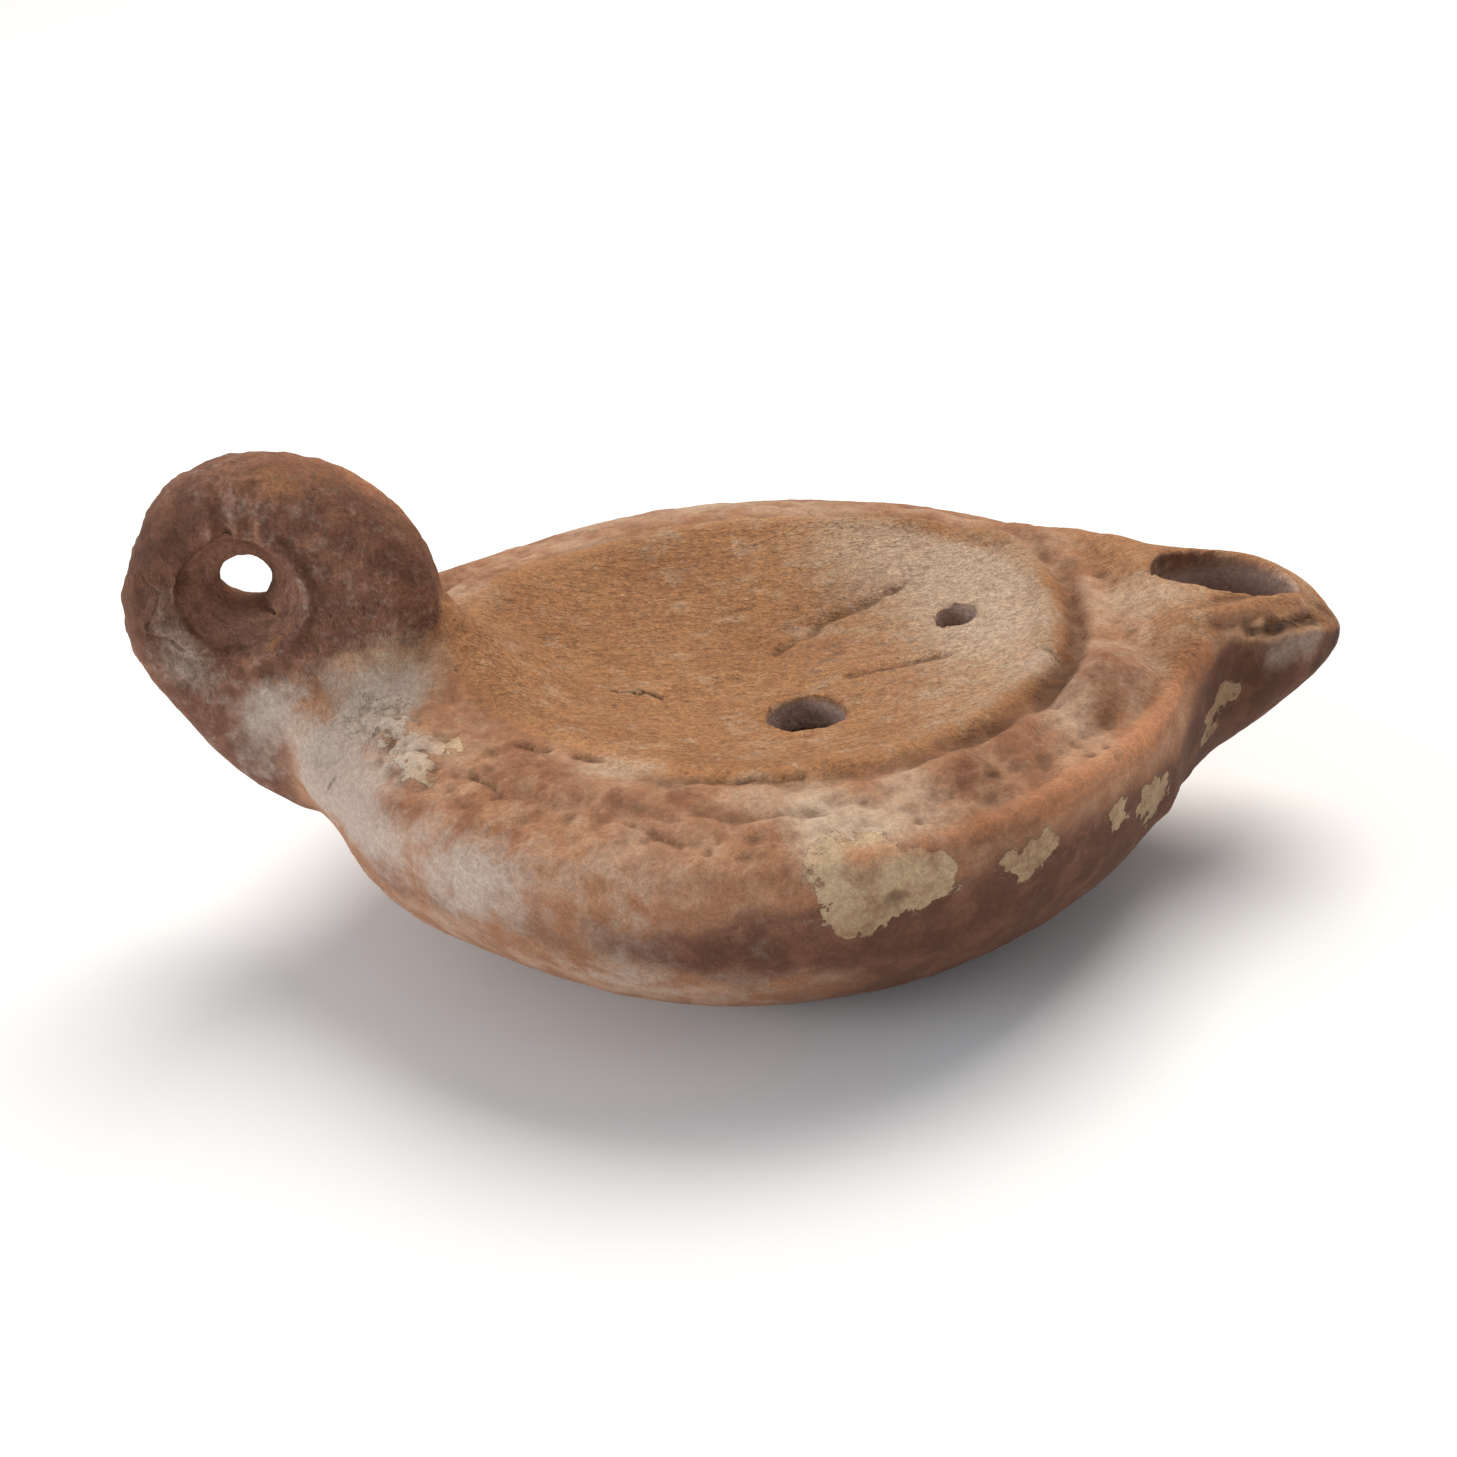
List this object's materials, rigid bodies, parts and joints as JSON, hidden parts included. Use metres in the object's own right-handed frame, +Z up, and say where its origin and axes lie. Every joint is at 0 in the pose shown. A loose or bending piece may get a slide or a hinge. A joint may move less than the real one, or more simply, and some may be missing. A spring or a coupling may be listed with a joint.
{
  "type": "roman oil lamp",
  "caption": "Hollow fired-clay oil lamp with a sunk disc top, a leaf wreath round the shoulder, a short rounded nozzle with a wick hole, and an upright pierced handle.",
  "frame": {"origin": "centre of the flat base, on the surface that the lamp stands on", "axes": "+Z up, +X from the handle along the lamp to the tip of the nozzle"},
  "size_m": [0.1032, 0.074, 0.0435],
  "materials": {
    "terracotta": "unglazed porous fired clay, worn and matte, with lime crust and soot stains"
  },
  "bodies": {
    "root": {"lamp": "terracotta"}
  },
  "joints": []
}
